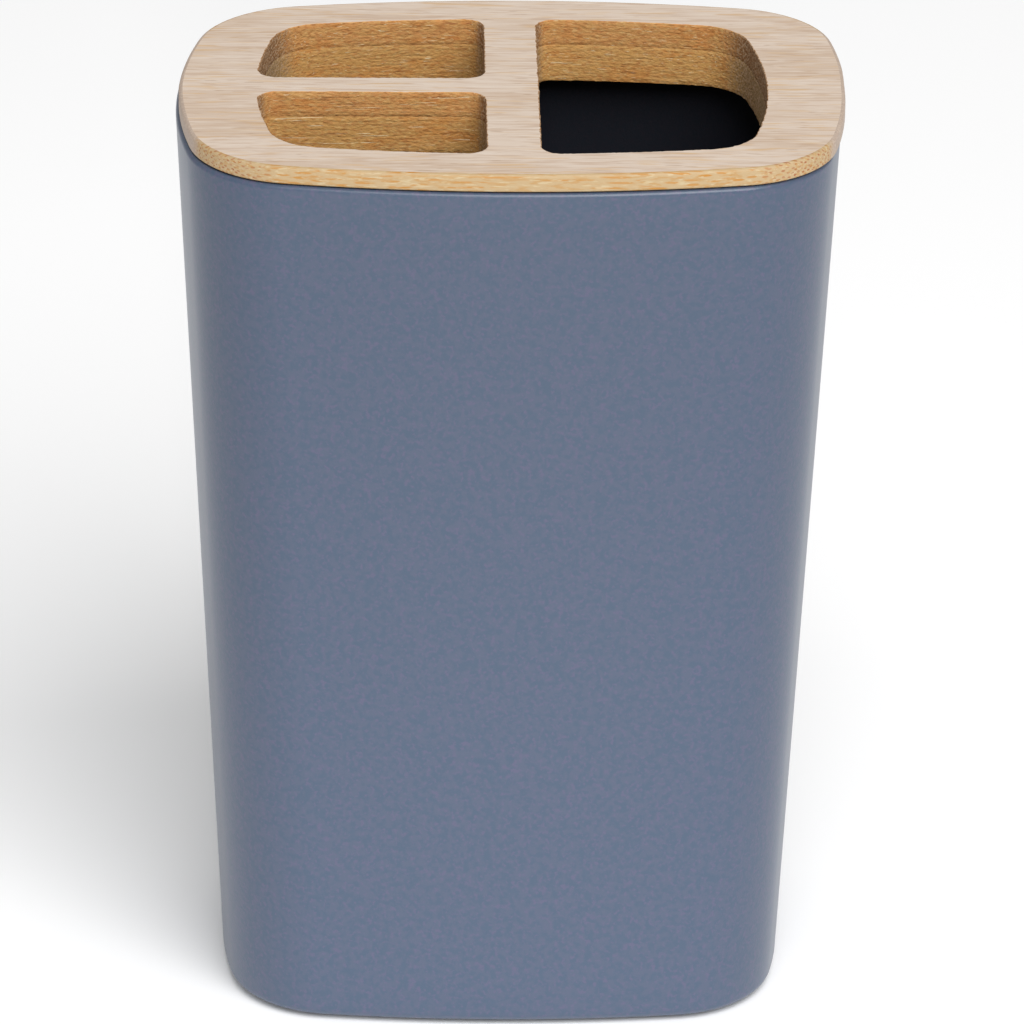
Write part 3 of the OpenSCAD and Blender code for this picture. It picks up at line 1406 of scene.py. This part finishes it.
@dataclass(frozen=True)
class Studio:
    """The pale floor, the soft lights and the camera."""

    # Matt white paper, which takes only the soft shadow
    floor_size: float = 6000.0
    paper: str = "#ffffff"
    paper_roughness: float = 0.9
    paper_ior: float = 1.3
    room: str = "#ffffff"
    room_light: float = 0.4
    # The camera looks at a point that lies to the right of its pivot and above it in the picture
    camera_distance: float = 1172.0
    camera_lens: float = 310.6
    camera_sensor: float = 36.0
    camera_elevation: float = 25.0
    camera_azimuth: float = -1.133
    camera_roll: float = 0.692
    camera_pivot: Triple = (0.674, 0.0, 0.5)
    camera_right: float = 0.379
    camera_up: float = 56.46
    camera_near: float = 50.0
    camera_far: float = 20000.0
    key_place: Triple = (520.0, -1560.0, 2000.0)
    key_size: float = 1800.0
    key_power: float = 65.0
    fill_place: Triple = (0.0, -1500.0, 300.0)
    fill_aim: float = -80.0
    fill_angle: float = 14.7
    fill_radius: float = 60.0
    fill_power: float = 40.0

    def build(self) -> None:
        """Sets up the floor, the world, the lights and the camera."""
        self.add_floor()
        self.add_world()
        self.add_key()
        self.add_fill()
        self.add_camera()

    def add_floor(self) -> None:
        """Lays the plain pale floor."""
        bm = bmesh.new()
        bmesh.ops.create_grid(bm, x_segments=1, y_segments=1, size=self.floor_size * MM / 2.0)
        mesh = meshed(bm, "floor")
        material, tree = new_material("pale_studio_paper")
        paper = {"Base Color": linear(self.paper), "Roughness": self.paper_roughness, "IOR": self.paper_ior}
        shader = add(tree, "ShaderNodeBsdfPrincipled", paper)
        add(tree, "ShaderNodeOutputMaterial", {"Surface": shader.outputs["BSDF"]})
        mesh.materials.append(material)
        put("floor", mesh)

    def add_world(self) -> None:
        """Fills the room with even white light."""
        world = bpy.data.worlds.new("white_room")
        world.use_nodes = True
        tree = world.node_tree
        tree.nodes.clear()
        light = add(tree, "ShaderNodeBackground", {"Color": linear(self.room), "Strength": self.room_light})
        add(tree, "ShaderNodeOutputWorld", {"Surface": light.outputs["Background"]})
        bpy.context.scene.world = world

    def add_key(self) -> None:
        """Hangs the soft box at the front right, turned to the height that the camera looks at."""
        data = bpy.data.lights.new("key_front_right", "AREA")
        data.shape = "SQUARE"
        data.size = self.key_size * MM
        data.energy = self.key_power
        self.hang(data, self.key_place, self.camera_up)

    def add_fill(self) -> None:
        """Adds the weak light that a white table throws up at a holder: it fades out towards the rim."""
        data = bpy.data.lights.new("low_fill_front", "SPOT")
        data.spot_size = math.radians(self.fill_angle)
        data.spot_blend = 1.0
        data.shadow_soft_size = self.fill_radius * MM
        data.energy = self.fill_power
        self.hang(data, self.fill_place, self.fill_aim)

    def hang(self, data: bpy.types.Light, place: Triple, aim: float) -> None:
        """Hangs a light and turns it to the holder's middle line.

        Args:
            data: The light.
            place: Its middle.
            aim: The height that it looks at.
        """
        lamp = put(data.name, data)
        lamp.location = Vector(place) * MM
        view = Vector((0.0, 0.0, aim)) - Vector(place)
        lamp.rotation_euler = view.to_track_quat("-Z", "Y").to_euler()

    def add_camera(self) -> None:
        """Places the camera at the photograph's angle, distance and roll."""
        angles = (self.camera_elevation, self.camera_azimuth, self.camera_roll)
        tilt, pan, roll = (math.radians(angle) for angle in angles)
        back = Vector((math.sin(pan) * math.cos(tilt), -math.cos(pan) * math.cos(tilt), math.sin(tilt)))
        level = Vector((math.cos(pan), math.sin(pan), 0.0))
        upward = back.cross(level)
        right = math.cos(roll) * level + math.sin(roll) * upward
        up = math.cos(roll) * upward - math.sin(roll) * level
        aim = Vector(self.camera_pivot) + level * self.camera_right + upward * self.camera_up
        place = (aim + back * self.camera_distance) * MM
        data = bpy.data.cameras.new("camera")
        data.sensor_width = self.camera_sensor
        data.lens = self.camera_lens
        data.clip_start, data.clip_end = self.camera_near * MM, self.camera_far * MM
        camera = put("camera", data)
        turn = Matrix((right, up, back)).transposed().to_4x4()
        camera.matrix_world = Matrix.Translation(place) @ turn
        bpy.context.scene.camera = camera


# The board's broad face after a fine sander: a pale, greyish tan with long faint streaks, in which the
# bundles hardly show because they run just under it
FACE_FINISH = BambooFinish(
    name="bamboo_sanded_face",
    ground="#d6c4b3",
    bundle="#b08f6e",
    bundle_amount=0.12,
    streaks=(
        Streaks("#bda083", 30.0, 5.0, 0.47, 0.66, 0.4),
        Streaks("#b6967a", 7.0, 0.42, 0.5, 0.64, 0.48),
        Streaks("#cfa873", 7.0, 0.55, 0.56, 0.68, 0.55),
        Streaks("#e0d2c3", 6.0, 0.5, 0.54, 0.66, 0.42),
        Streaks("#98734f", 4.0, 0.35, 0.65, 0.74, 0.55),
    ),
    relief=0.008,
    roughness=0.55,
)
# The same board sanded on its edge: the bundles come out as ochre dashes along the sides and as dots round
# the corners, and the ends are pale and dry
EDGE_FINISH = BambooFinish(
    name="bamboo_sanded_edge",
    ground="#b99e76",
    bundle="#b87a22",
    bundle_amount=0.95,
    bundle_across="#9c5526",
    bundle_pitch=0.5,
    bundle_radius=0.14,
    streaks=(
        Streaks("#b58542", 2.4, 0.4, 0.5, 0.62, 0.5),
        Streaks("#c8b894", 2.0, 0.25, 0.56, 0.66, 0.6),
    ),
    relief=0.012,
    end=EndGrain("#b39f8f", "#c0ad9c"),
)
# The board cut by a router: warm and brown, rough with torn fibres, with a dark line where a bundle was
# pulled out, a pale one where one was laid bare, and scorched end grain
WALL_FINISH = BambooFinish(
    name="bamboo_routed_wall",
    ground="#c99154",
    bundle="#9f612a",
    bundle_amount=0.12,
    streaks=(
        Streaks("#c8823c", 9.0, 2.0, 0.48, 0.62, 0.5),
        Streaks("#ca9b5c", 2.4, 1.0, 0.46, 0.6, 0.6),
        Streaks("#a3602e", 0.8, 0.32, 0.5, 0.62, 0.4),
        Streaks("#d8b67a", 0.7, 0.26, 0.55, 0.66, 0.4),
        Streaks("#8a4a1e", 8.0, 0.2, 0.62, 0.69, 0.55),
        Streaks("#f2e0b8", 6.0, 0.16, 0.65, 0.71, 0.7),
    ),
    relief=0.05,
    fuzz=Clouds((0.75, 0.34, 0.34), 0.3, 0.7, shift=31.0, octaves=3.0),
    end=EndGrain("#92683f", "#c2a484", start=0.5, full=1.0),
    roughness=0.75,
)
# The lower board, routed in the same pass, is of a slightly yellower cane
PLUG_FINISH = replace(
    WALL_FINISH,
    name="bamboo_routed_plug",
    ground="#c99856",
    bundle="#996a30",
    end=EndGrain("#9c7f54", "#c2a484", start=0.5, full=1.0),
    shift=43.0,
)
# The tumbler's dusty blue-grey, which cooler speckles and warmer dust keep from looking flat
OUTSIDE_FINISH = PlasticFinish(
    name="moulded_plastic_dusty_blue", colour="#4c566b", cooler="#445469", warmer="#55566f"
)
# The same plastic inside, with painted shade: its colour is darkened to stand for the shade in the cup, so
# that the inside reads as black through the openings
SHADED_INSIDE_FINISH = replace(
    OUTSIDE_FINISH, name="moulded_plastic_inside_painted_shade", colour="#1f2027", cooler="#1d2027", warmer="#212128"
)
# The pads' milky grey
PAD_FINISH = SiliconeFinish(name="cloudy_silicone", colour="#c3c7ca", cloudy="#d2d5d7")


def main() -> None:
    """Builds the studio and the holder."""
    logging.basicConfig(level=logging.INFO, format="%(name)s: %(message)s")
    bpy.context.scene.view_settings.view_transform = "Standard"
    Studio().build()
    tumbler = Tumbler()
    tumbler.build([OUTSIDE_FINISH.build(), SHADED_INSIDE_FINISH.build()])
    lid = Lid(tumbler)
    lid.build_face([FACE_FINISH.build(), EDGE_FINISH.build(), WALL_FINISH.build()])
    lid.build_plug(PLUG_FINISH.build())
    FootPads().build(PAD_FINISH.build())


if __name__ == "__main__":
    main()
